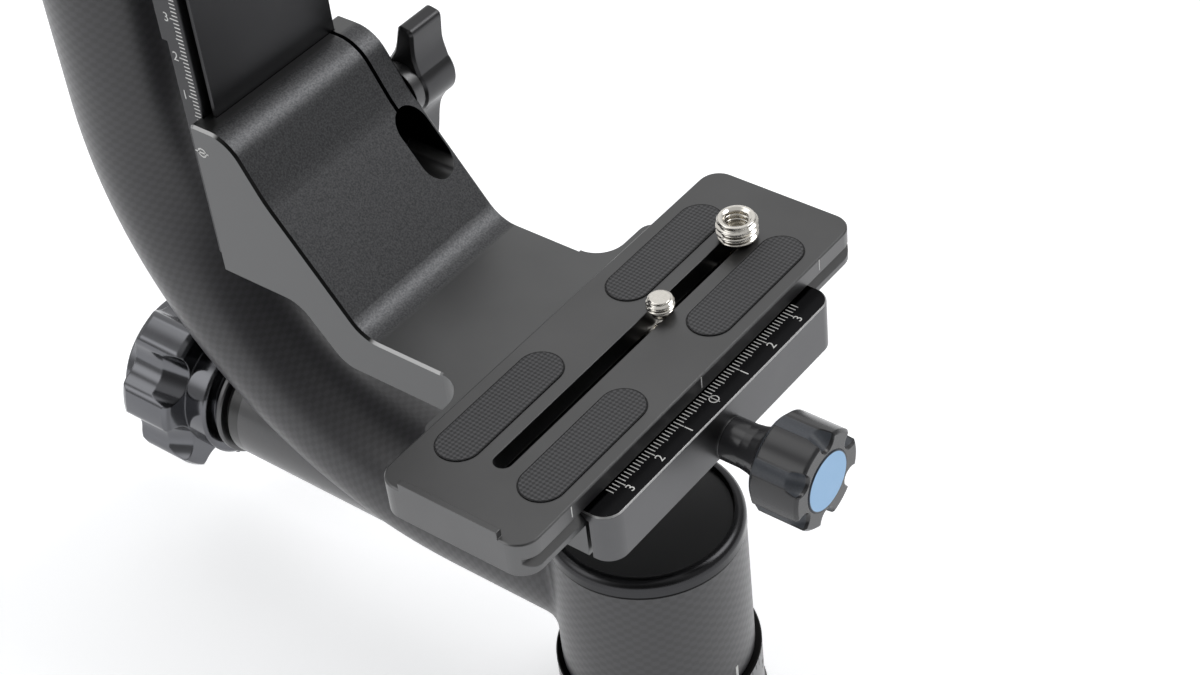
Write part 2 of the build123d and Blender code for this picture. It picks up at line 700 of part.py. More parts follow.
def pan_lock_seal():
    return ring(LOCK_SHAFT_R, SEAL_R, LOCK_WASHER_START, SEAL_START, "X", (0, LOCK_Z))


def pan_lock_washer():
    body = ring(LOCK_SHAFT_R, LOCK_WASHER_R, LOCK_KNOB_START, LOCK_WASHER_START, "X", (0, LOCK_Z))
    return chamfer(body.edges().filter_by(GeomType.CIRCLE).sort_by(SortBy.RADIUS)[-2:], EDGE / 2)


# ---- bracket with the fixed half of the clamp ----
def bracket_outline():
    platform_low = PLATFORM_TOP - PLATFORM_THICK
    corners = [
        (BRACKET_BACK, BRACKET_LOW), (BELLY_TOP_X, BRACKET_LOW), (BELLY_LOW_X, platform_low),
        (CLAMP_BACK, platform_low), (CLAMP_BACK, PLATFORM_TOP), (SLOPE_FOOT_X, PLATFORM_TOP),
        SLOPE_BEND, (SLOPE_TOP_X, BRACKET_TOP), (BRACKET_BACK, BRACKET_TOP),
    ]
    rounds = {1: BELLY_ROUND, 2: BELLY_ROUND, 5: FOOT_ROUND, 6: BEND_ROUND, 7: TOP_ROUND, 8: BACK_ROUND}
    face = make_face(Plane.XZ * Polyline(*corners, close=True))
    for index, radius in rounds.items():
        x, z = corners[index]
        face = fillet(face.vertices().sort_by_distance((x, 0, z))[0], radius)
    return face


def bracket_blank():
    """Side plate and platform in one piece, with broken edges along both side faces."""
    solid = extrude(bracket_outline(), BRACKET_HALF, both=True)
    by_side = solid.edges().group_by(Axis.Y)
    side_edges = by_side[0] + by_side[-1]
    return chamfer([e for e in side_edges if abs(e.center().X - CLAMP_BACK) > EDGE], EDGE)


def neck_web(side):
    """Concave corner between the platform and the clamp's back."""
    low = PLATFORM_TOP - PLATFORM_THICK
    centre_y = side * (BRACKET_HALF + NECK_FILLET)
    inner_y = side * (BRACKET_HALF - EDGE)
    back = CLAMP_BACK - NECK_FILLET
    web = block((back, min(inner_y, centre_y), low), (CLAMP_BACK, max(inner_y, centre_y), PLATFORM_TOP))
    return web - bar(NECK_FILLET, low, PLATFORM_TOP, "Z", (back, centre_y))


def tail_bar(start, end, clearance=0.0):
    """The camera plate's dovetail along Y, or the room for it when grown by a clearance."""
    plane = Plane(origin=(PLATE_X, start, PLATE_BOTTOM), x_dir=(1, 0, 0), z_dir=(0, 1, 0))
    tail = extrude(plane * dovetail(PLATE_HALF_X, TAIL_EDGE, TAIL_FLANK, clearance), end - start)
    half = PLATE_HALF_X - TAIL_FLANK + clearance * sqrt(2)
    root = PLATE_BOTTOM + TAIL_EDGE + TAIL_FLANK
    return tail + block((PLATE_X - half, start, root - EDGE), (PLATE_X + half, end, FLANGE_LOW))


def guide_places():
    return [(-GUIDE_PIN_Y, KNOB_Z), (GUIDE_PIN_Y, KNOB_Z)]


def spring_places():
    return [(-SPRING_Y, KNOB_Z), (SPRING_Y, KNOB_Z)]


def bracket():
    clamp = block((CLAMP_BACK, -CLAMP_HALF, CLAMP_BOTTOM), (CLAMP_FRONT, CLAMP_HALF, PLATFORM_TOP))
    clamp = fillet(clamp.edges().filter_by(Axis.Z).group_by(Axis.X)[0], CLAMP_CORNER)
    body = bracket_blank() + clamp + neck_web(1) + neck_web(-1)
    body -= tail_bar(-CLAMP_HALF, CLAMP_HALF, SLIDE)
    body -= block((PLATE_X, -CLAMP_HALF, CHANNEL_FLOOR), (CLAMP_FRONT, CLAMP_HALF, PLATFORM_TOP))
    body -= rail_dovetail(BRACKET_LOW, BRACKET_TOP, SLIDE)
    rail_room = RAIL_HALF + GAP
    body -= block((BRACKET_BACK, -rail_room, BRACKET_LOW), (RAIL_SHOULDER + GAP, rail_room, BRACKET_TOP))
    slit_end = (SLOPE_FOOT_X, SLIT_LOW_Y + SLIT_WIDTH, BRACKET_TOP)
    body -= block((BRACKET_BACK, SLIT_LOW_Y, SLIT_BOTTOM), slit_end)
    pocket = SlotOverall(POCKET_HIGH - POCKET_LOW, 2 * POCKET_R, rotation=90)
    body -= prism(pocket, POCKET_FLOOR, SLOPE_FOOT_X, "X", (POCKET_Y, (POCKET_LOW + POCKET_HIGH) / 2))
    body -= bar(WING_STUD_R + RUN, WING_STUD_END - GAP, SLIT_LOW_Y, "Y", (WING_X, WING_Z))
    body -= bar(WING_STUD_R + SLIDE, SLIT_LOW_Y, BRACKET_HALF, "Y", (WING_X, WING_Z))
    stop_y, stop_z = stop_places()[0]
    recess_half = STOP_HEAD_R + SLIDE
    recess_floor = RAIL_FACE + STOP_HEAD_H + GAP
    body -= bar(recess_half, RAIL_FACE, recess_floor, "X", (stop_y, stop_z))
    body -= block((RAIL_FACE, -recess_half, BRACKET_LOW), (recess_floor, recess_half, stop_z))
    body -= bar(STUD_R + RUN, CLAMP_FRONT - STUD_REACH - GAP, CLAMP_FRONT, "X", (0, KNOB_Z))
    for place in guide_places():
        body -= bar(GUIDE_PIN_R, CLAMP_FRONT - GUIDE_PIN_IN, CLAMP_FRONT, "X", place)
    for place in spring_places():
        body -= bar(SPRING_R + SLIDE, CLAMP_FRONT - SPRING_IN, CLAMP_FRONT, "X", place)
    return body


# ---- moving jaw ----
def clamp_jaw():
    lip_x = PLATE_X + PLATE_HALF_X - TAIL_FLANK
    lip_low = PLATE_BOTTOM + TAIL_EDGE
    body = block((lip_x, -CLAMP_HALF, lip_low), (JAW_BACK, CLAMP_HALF, PLATFORM_TOP))
    body += block((JAW_BACK, -CLAMP_HALF, CLAMP_BOTTOM), (JAW_FACE, CLAMP_HALF, PLATFORM_TOP))
    body = fillet(body.edges().filter_by(Axis.Z).group_by(Axis.X)[-1], JAW_CORNER)
    body -= tail_bar(-CLAMP_HALF, CLAMP_HALF, SLIDE)
    top_edges = body.edges().group_by(Axis.Z)[-1]
    body = chamfer([e for e in top_edges if e.center().X > JAW_BACK + JAW_CORNER], EDGE / 2)
    body -= bar(STUD_R + SLIDE, JAW_BACK, JAW_FACE, "X", (0, KNOB_Z))
    for place in guide_places():
        body -= bar(GUIDE_PIN_R + RUN, JAW_BACK, JAW_BACK + GUIDE_PIN_OUT + EDGE, "X", place)
    for place in spring_places():
        body -= bar(SPRING_R + SLIDE, JAW_BACK, JAW_BACK + SPRING_OUT, "X", place)
    return biggest(body)


def jaw_guide_pins():
    low = CLAMP_FRONT - GUIDE_PIN_IN
    return [bar(GUIDE_PIN_R, low, JAW_BACK + GUIDE_PIN_OUT, "X", place) for place in guide_places()]


def jaw_springs():
    low = CLAMP_FRONT - SPRING_IN + SPRING_WIRE_R
    length = JAW_BACK + SPRING_OUT - SPRING_WIRE_R - low
    springs = []
    for place in spring_places():
        coil_r = SPRING_R - SPRING_WIRE_R
        path = Helix(length / SPRING_TURNS, length, coil_r)
        section = Plane(origin=path @ 0, z_dir=path % 0) * Circle(SPRING_WIRE_R)
        springs.append(Pos(low, place[0], place[1]) * Rot(0, 90, 0) * sweep(section, path=path))
    return springs


# ---- clamp knob ----
def clamp_collar():
    return ring(STUD_R + SLIDE, COLLAR_R, JAW_FACE, JAW_FACE + COLLAR_W, "X", (0, KNOB_Z))


def clamp_stud():
    return bar(STUD_R, CLAMP_FRONT - STUD_REACH, KNOB_BACK + STUD_KNOB_SEAT, "X", (0, KNOB_Z))


def clamp_knob():
    at = (0, KNOB_Z)
    low = JAW_FACE + COLLAR_W + RUN
    flare = [(COLLAR_R + out, KNOB_NECK_END + along) for along, out in KNOB_FLARE]
    body = turned([
        (0, low), (COLLAR_R, low), (COLLAR_R, KNOB_NECK_END), *flare, (KNOB_BACK_R, KNOB_BACK),
        (KNOB_R - KNOB_ROUND, KNOB_BACK + KNOB_ROUND / 2), (KNOB_R, KNOB_BACK + 1.5 * KNOB_ROUND),
        (KNOB_R, KNOB_FRONT - EDGE), (KNOB_R - EDGE, KNOB_FRONT), (0, KNOB_FRONT),
    ], "X", at)
    reach = 2 * (KNOB_FRONT - KNOB_BACK)
    flute = Pos(KNOB_R - KNOB_FLUTE_SINK + KNOB_FLUTE_R, 0, 0) * Cylinder(KNOB_FLUTE_R, reach)
    cutter = flute + tilted_bar(KNOB_SCOOP_FLOOR, KNOB_SCOOP_R, KNOB_SCOOP_TILT, reach)
    body -= around(plane_along("X", KNOB_FRONT, at), cutter, KNOB_FLUTES, KNOB_FLUTE_TURN)
    body -= bar(DISC_R + RUN, KNOB_FRONT + DISC_PROUD - DISC_W, KNOB_FRONT, "X", at)
    return body - bar(STUD_R, low, KNOB_BACK + STUD_KNOB_SEAT, "X", at)


def clamp_knob_disc():
    low = KNOB_FRONT + DISC_PROUD - DISC_W
    body = bar(DISC_R, low, low + DISC_W, "X", (0, KNOB_Z))
    return fillet(body.edges().filter_by(GeomType.CIRCLE).group_by(Axis.X)[-1], EDGE / 2)


# ---- wing knob ----
def wing(reach):
    """One wing with hollow flanks and a rounded tip, from the hub out along +X."""
    left = [*WING_FLANK, (reach, WING_TIP_HALF)]
    right = [(x, -y) for x, y in reversed(left)]
    edges = [Spline(*left), Line(left[-1], right[0]), Spline(*right), Line(right[-1], left[0])]
    face = make_face([line.edge() for line in edges])
    return fillet(face.vertices().group_by(Axis.X)[-1], WING_TIP_ROUND)


def wing_outline():
    knob = Circle(WING_HUB_R) + wing(WING_SHORT) + Rot(0, 0, 180) * wing(WING_LONG)
    return Rot(0, 0, WING_LEAN) * knob


def wing_knob():
    at = (WING_X, WING_Z)
    body = prism(wing_outline(), WING_NEAR, WING_NEAR + WING_THICK, "Y", at)
    body = chamfer(body.edges().group_by(Axis.Y)[0] + body.edges().group_by(Axis.Y)[-1], EDGE)
    return body - bar(WING_STUD_R, WING_NEAR, WING_NEAR + WING_STUD_SEAT, "Y", at)


def wing_stud():
    return bar(WING_STUD_R, WING_STUD_END, WING_NEAR + WING_STUD_SEAT, "Y", (WING_X, WING_Z))


def wing_washer():
    return ring(WING_STUD_R + SLIDE, WING_COLLAR_R, BRACKET_HALF, WING_NEAR - RUN, "Y", (WING_X, WING_Z))


# ---- camera plate ----
def obround(half_x, half_y):
    return SlotOverall(2 * half_y, 2 * half_x, rotation=90)


def pad_places():
    return [(PLATE_X + x, PLATE_Y + y) for y in (-PAD_Y, PAD_Y) for x in (-PAD_X, PAD_X)]


def camera_plate():
    outline = RectangleRounded(2 * PLATE_HALF_X, 2 * PLATE_HALF_Y, PLATE_CORNER)
    centre = (PLATE_X, PLATE_Y)
    body = prism(outline, FLANGE_LOW, PLATE_TOP, "Z", centre)
    body = chamfer(body.edges().group_by(Axis.Z)[-1], EDGE / 2)
    near = PLATE_Y - PLATE_HALF_Y
    far = PLATE_Y + PLATE_HALF_Y
    body += prism(outline, PLATE_BOTTOM, FLANGE_LOW, "Z", centre) & tail_bar(near, far)
    lip_low = (PLATE_X - LIP_HALF, near, PLATE_TOP - EDGE)
    body += block(lip_low, (PLATE_X + LIP_HALF, near + LIP_W, PLATE_TOP + LIP_H))
    body -= prism(obround(SLOT_HALF, SLOT_END), PLATE_BOTTOM, PLATE_TOP, "Z", centre)
    recess = obround(RECESS_HALF, SLOT_END + RECESS_HALF - SLOT_HALF)
    body -= prism(recess, PLATE_BOTTOM, RECESS_TOP, "Z", centre)
    for place in pad_places():
        body -= prism(obround(PAD_HALF_X, PAD_HALF_Y), PLATE_TOP - PAD_SINK, PLATE_TOP, "Z", place)
    return body


def pad(place):
    outline = obround(PAD_HALF_X - RUN, PAD_HALF_Y - RUN)
    return prism(outline, PLATE_TOP - PAD_SINK, PLATE_TOP + PAD_PROUD, "Z", place)


# ---- camera screws ----
def camera_screw(y, thread_top):
    at = (PLATE_X, y)
    head_top = RECESS_TOP - RUN - SCREW_WASHER_W - RUN
    body = bar(HEAD_R, head_top - HEAD_H, head_top, "Z", at)
    body += bar(STEM_R, head_top, PLATE_TOP + SCREW_FOOT_GAP, "Z", at)
    thread = bar(QUARTER_R, PLATE_TOP + SCREW_FOOT_GAP, thread_top, "Z", at)
    body += chamfer(thread.edges().group_by(Axis.Z)[-1], EDGE)
    low = head_top - HEAD_H
    half = COIN_SLOT / 2
    return body - block((PLATE_X - HEAD_R, y - half, low), (PLATE_X + HEAD_R, y + half, low + COIN_SLOT))


def screw_washer(y):
    high = RECESS_TOP - RUN
    return ring(STEM_R + SLIDE / 2, HEAD_R - GAP, high - SCREW_WASHER_W, high, "Z", (PLATE_X, y))


def thread_bush():
    low = PLATE_TOP + SCREW_FOOT_GAP
    body = ring(QUARTER_R + RUN, THREE_EIGHTHS_R, low, PLATE_TOP + BUSH_RISE, "Z", (PLATE_X, BUSH_SCREW_Y))
    return chamfer(body.edges().group_by(Axis.Z)[-1], EDGE / 2)


# ---- write every piece ----
save("pan_base", pan_base())
save("pan_scale_ring", pan_scale_ring())
save("pan_spindle", pan_spindle())
save("spindle_screws", *spindle_screws())
save("pan_retaining_nut", pan_retaining_nut())
save_bearings("pan", [
    bearing(PAN_SHAFT_R, PAN_BEARING_R, low, PAN_BEARING_W) for low in (PAN_BEARING_LOW, PAN_BEARING_HIGH)
])
save("carbon_arm", carbon_arm())
save("pan_housing_liner", pan_housing_liner())
save("pan_cap", pan_cap())
save("lock_boss", lock_boss())
save("pan_brake_plunger", pan_brake_plunger())
save("pan_brake_pad", pan_brake_pad())
save("pan_lock_shaft", pan_lock_shaft())
save("pan_shaft_clip", pan_shaft_clip())
save("pan_lock_seal", pan_lock_seal())
save("pan_lock_washer", pan_lock_washer())
save("pan_lock_knob", pan_lock_knob())
save("pan_lock_cap", lock_knob_cap(LOCK_KNOB_START, LOCK_KNOB_L, (0, LOCK_Z), LOCK_LOBE_R))

save("tilt_housing_liner", tilt_housing_liner())
save_bearings("tilt", [
    bearing(TILT_SHAFT_R, TILT_BEARING_R, low, TILT_BEARING_W, "X", (0, TILT_Z))
    for low in (TILT_BEARING_LEFT, TILT_BEARING_RIGHT - TILT_BEARING_W)
])
save("tilt_spindle", tilt_spindle())
save("tilt_retaining_nut", tilt_retaining_nut())
save("tilt_friction_washer", tilt_friction_washer())
save("tilt_pressure_plate", tilt_pressure_plate())
save("tilt_lock_knob", tilt_lock_knob())
save("tilt_lock_cap", lock_knob_cap(TILT_KNOB_START, TILT_KNOB_L, (0, TILT_Z), TILT_LOBE_R))

save("rail", rail())
save("rail_screws", *rail_screws())
save("rail_stop_screws", *rail_stop_screws())

save("bracket", bracket())
save("jaw_guide_pins", *jaw_guide_pins())
save("jaw_springs", *jaw_springs())
save("clamp_jaw", clamp_jaw())
save("clamp_collar", clamp_collar())
save("clamp_stud", clamp_stud())
save("clamp_knob", clamp_knob())
save("clamp_knob_disc", clamp_knob_disc())
save("wing_knob", wing_knob())
save("wing_stud", wing_stud())
save("wing_washer", wing_washer())

save("camera_plate", camera_plate())
for name, place in zip(("near_left", "near_right", "far_left", "far_right"), pad_places()):
    save(f"pad_{name}", pad(place))
save("quarter_screw", camera_screw(QUARTER_SCREW_Y, PLATE_TOP + QUARTER_RISE))
save("quarter_screw_washer", screw_washer(QUARTER_SCREW_Y))
save("bush_screw", camera_screw(BUSH_SCREW_Y, PLATE_TOP + BUSH_SCREW_RISE))
save("bush_screw_washer", screw_washer(BUSH_SCREW_Y))
save("thread_bush", thread_bush())
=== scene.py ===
import bmesh
import bpy
from math import ceil, cos, floor, pi, radians, sin, tau
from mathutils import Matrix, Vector


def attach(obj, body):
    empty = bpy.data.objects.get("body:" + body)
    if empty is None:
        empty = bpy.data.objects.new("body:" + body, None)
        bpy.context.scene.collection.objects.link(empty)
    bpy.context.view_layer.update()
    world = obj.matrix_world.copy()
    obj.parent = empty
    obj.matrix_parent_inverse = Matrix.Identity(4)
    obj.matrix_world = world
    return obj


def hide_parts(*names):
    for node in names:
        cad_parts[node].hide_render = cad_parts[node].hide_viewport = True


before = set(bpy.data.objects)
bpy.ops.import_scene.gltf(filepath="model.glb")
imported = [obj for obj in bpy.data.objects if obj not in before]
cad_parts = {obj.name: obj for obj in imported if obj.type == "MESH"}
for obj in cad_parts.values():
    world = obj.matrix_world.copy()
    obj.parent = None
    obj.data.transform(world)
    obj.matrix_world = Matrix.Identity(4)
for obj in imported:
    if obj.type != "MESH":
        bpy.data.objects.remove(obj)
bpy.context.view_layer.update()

# Looks for the gimbal head. Lengths below are millimetres in the row frame; MM turns them into metres.
MM = 0.001
PAINT = 0.02                            # how far printed marks stand above what they are printed on
WELD = 1e-7                             # points of a mesh closer than this, in metres, become one

# ---- places and sizes taken over from the CAD ----
JAW_TOP = 112.0
RAIL_NEAR_Y = -20.5
BRACKET_NEAR_Y = -24.15
POCKET_X, POCKET_REACH = -66.6, 11.6    # middle and half length of the pocket in the bracket's slope
POCKET_Y, POCKET_HALF = 18.8, 4.6       # and its middle and half width
PLATE_X, PLATE_Y = 0.2, -0.15
PLATE_SIDE_X = 19.5
PLATE_TOP = 117.0
PAD_X, PAD_Y = 10.8, 28.8               # a pad's middle, from the plate's middle
PAD_HALF_X, PAD_HALF_Y = 5.2, 18.35
SHELL_R = 22.7
CAP_DISH_R = 20.2
RING_R = 24.25
TILT_Z, HUB_R = 210.0, 24.0
LEG_Z, BEND_R, COLUMN_X = 42.5, 90.0, -141.0
BEND_X = COLUMN_X + BEND_R
TUBE_R = 16.3
KNOB_Z = 102.7
DISC_R = 7.0
QUARTER_Y, BUSH_Y = 12.4, 41.0
QUARTER_TOP, BUSH_SCREW_TOP, BUSH_TOP = 120.8, 120.2, 122.8
QUARTER_R, QUARTER_PITCH = 3.175, 1.27
BUSH_R, BUSH_PITCH = 4.76, 1.5875

# ---- places where a finish changes, and its patterns ----
BOSS_BAND_X = -119.5                    # the boss is black from here to its end
CAP_SEAM_TOP = 63.0
FLUTE_R = 11.0                          # the clamp knob's skin lies within this radius
FLUTE_BACK, FLUTE_FRONT = 38.0, 49.3    # and between these two places
DISC_BORDER = 0.3
EDGE_LIGHT_UP_TO_X = -32.0                    # the painted highlight and dark on the bracket's edges reach up to here
HOUSING_MARGIN = 0.4                    # a point this far outside a housing's radius still counts as on it
WEAVE_ALONG, WEAVE_AROUND = 2.7, 3.6    # periods of the weave
STUD_PERIOD = 1.9
PAD_BORDER = 0.35


# ---- nodes ----
class Nodes:
    """A node tree, with short ways to add nodes to it."""

    def __init__(self, tree):
        self.tree = tree

    def join(self, value, socket):
        """Link a node's output to a socket, or give the socket a plain value."""
        if isinstance(value, bpy.types.NodeSocket):
            self.tree.links.new(value, socket)
        else:
            socket.default_value = value

    def node(self, kind, output, inputs, **settings):
        """Add a node, set its options and inputs, and hand back one of its outputs."""
        node = self.tree.nodes.new(kind)
        for key, value in settings.items():
            setattr(node, key, value)
        for key, value in inputs.items():
            self.join(value, node.inputs[key])
        return node.outputs[output]

    def math(self, operation, a, b=0.0, c=0.0):
        return self.node("ShaderNodeMath", 0, {0: a, 1: b, 2: c}, operation=operation)

    def total(self, first, *others):
        for other in others:
            first = self.math("ADD", first, other)
        return first

    def minus(self, a, b):
        return self.math("SUBTRACT", a, b)

    def times(self, first, *others):
        for other in others:
            first = self.math("MULTIPLY", first, other)
        return first

    def apart(self, a, b):
        """How far two numbers are from each other."""
        return self.math("ABSOLUTE", self.minus(a, b))

    def arc(self, side, ahead, radius):
        """How far round a circle a direction lies."""
        return self.times(self.math("ARCTAN2", side, ahead), radius)

    def span(self, value, low, high, start=0.0, end=1.0, smooth=False):
        """Map a value's range low to high onto start to end."""
        kind = "SMOOTHSTEP" if smooth else "LINEAR"
        inputs = {"Value": value, "From Min": low, "From Max": high, "To Min": start, "To Max": end}
        return self.node("ShaderNodeMapRange", "Result", inputs, interpolation_type=kind)

    def below(self, value, limit, blur):
        """1 below a limit and 0 above it, with a blurred step between."""
        return self.span(value, limit + blur, limit - blur)

    def above(self, value, limit, blur):
        """1 above a limit and 0 below it, with a blurred step between."""
        return self.span(value, limit - blur, limit + blur)

    def mix(self, share, a, b):
        """A number between a and b."""
        return self.node("ShaderNodeMix", 0, {0: share, 2: a, 3: b}, data_type="FLOAT")

    def blend(self, share, dark, light):
        """A colour between two."""
        ends = [c if isinstance(c, bpy.types.NodeSocket) else (*c, 1.0) for c in (dark, light)]
        return self.node("ShaderNodeMix", 2, {0: share, 6: ends[0], 7: ends[1]}, data_type="RGBA")

    def length(self, *parts):
        squares = [self.times(part, part) for part in parts]
        return self.math("SQRT", self.total(*squares))

    def split(self, vector):
        node = self.node("ShaderNodeSeparateXYZ", 0, {0: vector}).node
        return node.outputs[0], node.outputs[1], node.outputs[2]


class Surface(Nodes):
    """One material and the nodes that drive its shader."""

    def __init__(self, name, colour, roughness, metallic=0.0, **inputs):
        self.material = bpy.data.materials.new(name)
        self.material.use_nodes = True
        super().__init__(self.material.node_tree)
        self.shader = self.tree.nodes["Principled BSDF"]
        self.set("Base Color", (*colour, 1.0))
        self.set("Roughness", roughness)
        self.set("Metallic", metallic)
        for key, value in inputs.items():
            self.set(key.replace("_", " "), value)

    def set(self, socket, value):
        self.join(value, self.shader.inputs[socket])

    def where(self, scale=1.0, stretch=(1, 1, 1)):
        """A point's place in millimetres, carried along with its body, and scaled."""
        place = self.node("ShaderNodeTexCoord", "Object", {})
        size = [scale / MM * s for s in stretch]
        return self.node("ShaderNodeVectorMath", 0, {0: place, 1: size}, operation="MULTIPLY")

    def place(self):
        return self.split(self.where())

    def noise(self, scale, detail=3.0, stretch=(1, 1, 1)):
        """Noise with so many cells to the millimetre, stretched along an axis if asked."""
        inputs = {"Vector": self.where(scale, stretch), "Scale": 1.0, "Detail": detail}
        return self.node("ShaderNodeTexNoise", 0, inputs)

    def facing(self):
        """X, Y and Z of the surface's direction."""
        return self.split(self.node("ShaderNodeNewGeometry", "Normal", {}))

    def wave(self, value, period):
        return self.math("SINE", self.times(value, tau / period))

    def colour(self):
        """What drives the base colour so far."""
        return self.shader.inputs["Base Color"].links[0].from_socket

    def edge(self, facing):
        """1 on the slanting edges beside a face, by how far the surface faces the face's way."""
        return self.times(self.span(facing, 0.5, 0.6), self.span(facing, 0.9, 0.8))

    def relief(self, height, depth, rounding=0.0):
        """Bump of a depth in millimetres, on edges rounded by a radius in millimetres."""
        inputs = {"Height": height, "Strength": 1.0, "Distance": depth * MM}
        if rounding:
            inputs["Normal"] = self.node("ShaderNodeBevel", 0, {"Radius": rounding * MM}, samples=4)
        self.set("Normal", self.node("ShaderNodeBump", "Normal", inputs))


# ---- materials ----
def shades(colour, spread):
    """A colour made darker and lighter by a share."""
    return [c * (1 - spread) for c in colour], [min(1.0, c * (1 + spread)) for c in colour]


def anodised(name, colour, roughness, grain=0.006, rounding=0.25):
    """Bead-blasted and anodised aluminium: fine grain, faint cloudiness and soft edges."""
    surface = Surface(name, colour, roughness, 1.0)
    cloud = surface.noise(0.05, 4.0)
    fine = surface.noise(4.0, 2.0)
    surface.set("Base Color", surface.blend(cloud, *shades(colour, 0.14)))
    surface.set("Roughness", surface.span(fine, 0.3, 0.7, roughness - 0.05, roughness + 0.05))
    surface.relief(fine, grain, rounding)
    return surface


def jaw_finish():
    """Satin sides under a polished black top, where the scale is printed, with a painted highlight on the
    slanting edge between.
    """
    surface = anodised("jaw", (0.105, 0.105, 0.108), 0.36)
    up = surface.facing()[2]
    top = surface.span(up, 0.9, 0.98)
    colour = surface.blend(top, surface.colour(), (0.012, 0.012, 0.013))
    # painted highlight: the slanting edges between the top and the sides are coloured light grey
    surface.set("Base Color", surface.blend(surface.edge(up), colour, (0.5, 0.5, 0.5)))
    surface.set("Roughness", surface.span(top, 0.0, 1.0, 0.36, 0.22))
    return surface


def bracket_finish():
    """Anodised, with a coarser blasted skin on the slope, painted shade on the faces that look along Y and in
    the pocket, and a painted highlight on the edges that turns to a painted dark reflection along the slope.
    """
    surface = anodised("bracket", (0.132, 0.133, 0.134), 0.36, 0.008, 0.1)
    right, side, up = surface.facing()
    side = surface.math("ABSOLUTE", side)
    x, y, _ = surface.place()
    slope = surface.times(surface.span(right, 0.02, 0.12), surface.span(up, 0.15, 0.3))
    grain = surface.span(surface.noise(2.4, 3.0), 0.35, 0.65)
    speckled = surface.blend(grain, (0.066, 0.067, 0.070), (0.116, 0.117, 0.121))
    colour = surface.blend(slope, surface.colour(), speckled)
    # painted shade: the faces that look along Y are coloured a little darker
    colour = surface.blend(surface.span(side, 0.9, 0.95), colour, (0.114, 0.115, 0.116))
    # painted shade: the pocket's walls and floor are coloured near black
    pocket_shade = surface.times(surface.math("COMPARE", y, POCKET_Y, POCKET_HALF),
                           surface.math("COMPARE", x, POCKET_X, POCKET_REACH),
                           surface.span(up, 0.45, 0.35))
    colour = surface.blend(pocket_shade, colour, (0.008, 0.008, 0.009))
    # painted highlight on the side faces' edges, turning to a painted dark reflection where they run along
    # the slope
    edge = surface.times(surface.edge(side), surface.math("LESS_THAN", x, EDGE_LIGHT_UP_TO_X))
    painted_edge_light_and_dark = surface.blend(surface.span(right, 0.1, 0.2), (0.32, 0.32, 0.32), (0.02, 0.02, 0.02))
    surface.set("Base Color", surface.blend(edge, colour, painted_edge_light_and_dark))
    surface.set("Roughness", surface.span(slope, 0.0, 1.0, 0.35, 0.42))
    return surface


def metal(name, colour, roughness, stretch=(1, 1, 1)):
    """Plated or ground metal with fine machining marks."""
    surface = Surface(name, colour, roughness, 1.0)
    marks = surface.noise(1.5, 3.0, stretch)
    surface.set("Base Color", surface.blend(marks, [c * 0.86 for c in colour], colour))
    surface.set("Roughness", surface.span(marks, 0.3, 0.7, roughness * 0.7, roughness * 1.4))
    surface.relief(marks, 0.004, 0.12)
    return surface


def plain(name, colour, roughness, **inputs):
    """Moulded plastic, rubber or paint, with a little unevenness."""
    surface = Surface(name, colour, roughness, 0.0, **inputs)
    uneven = surface.noise(0.8, 3.0)
    surface.set("Base Color", surface.blend(uneven, *shades(colour, 0.12)))
    surface.set("Roughness", surface.span(uneven, 0.3, 0.7, roughness * 0.9, roughness * 1.1))
    surface.relief(uneven, 0.004, 0.15)
    return surface


def polished(name, colour, roughness, metallic):
    """Smooth black knob with faint smears and softly rounded edges."""
    surface = Surface(name, colour, roughness, metallic)
    smear = surface.noise(0.15, 3.0)
    surface.set("Base Color", surface.blend(smear, *shades(colour, 0.08)))
    surface.set("Roughness", surface.span(smear, 0.3, 0.7, roughness - 0.02, roughness + 0.03))
    surface.relief(surface.noise(3.0, 2.0), 0.001, 0.6)
    return surface


def boss_finish():
    """Grey boss whose last few millimetres, under the lock's seal, are black."""
    surface = plain("boss_grey", (0.09, 0.09, 0.093), 0.35, Coat_Weight=0.2)
    end = surface.below(surface.place()[0], BOSS_BAND_X, 0.1)
    surface.set("Base Color", surface.blend(end, surface.colour(), (0.012, 0.012, 0.012)))
    return surface


def arm_lines(surface):
    """How far a point lies along the bent tube and round it, in millimetres, or so on a housing."""
    x, y, z = surface.place()
    left = surface.minus(BEND_X, x)
    down = surface.minus(LEG_Z + BEND_R, z)
    on_leg = surface.math("LESS_THAN", left, 0.0)
    on_column = surface.math("LESS_THAN", down, 0.0)
    along = surface.mix(on_leg, surface.arc(left, down, BEND_R), left)
    along = surface.mix(on_column, along, surface.minus(BEND_R * pi / 2, down))
    outward = surface.minus(surface.length(left, down), BEND_R)
    outward = surface.mix(on_leg, outward, surface.minus(LEG_Z, z))
    outward = surface.mix(on_column, outward, surface.minus(COLUMN_X, x))
    around = surface.arc(y, outward, TUBE_R)

    on_pan = surface.math("LESS_THAN", surface.length(x, y), SHELL_R + HOUSING_MARGIN)
    along = surface.mix(on_pan, along, z)
    around = surface.mix(on_pan, around, surface.arc(y, x, SHELL_R))
    above = surface.minus(z, TILT_Z)
    on_tilt = surface.math("LESS_THAN", surface.length(y, above), HUB_R + HOUSING_MARGIN)
    on_tilt = surface.times(on_tilt, surface.math("GREATER_THAN", z, TILT_Z - HUB_R - 1))
    along = surface.mix(on_tilt, along, x)
    around = surface.mix(on_tilt, around, surface.arc(y, above, HUB_R))
    return along, around


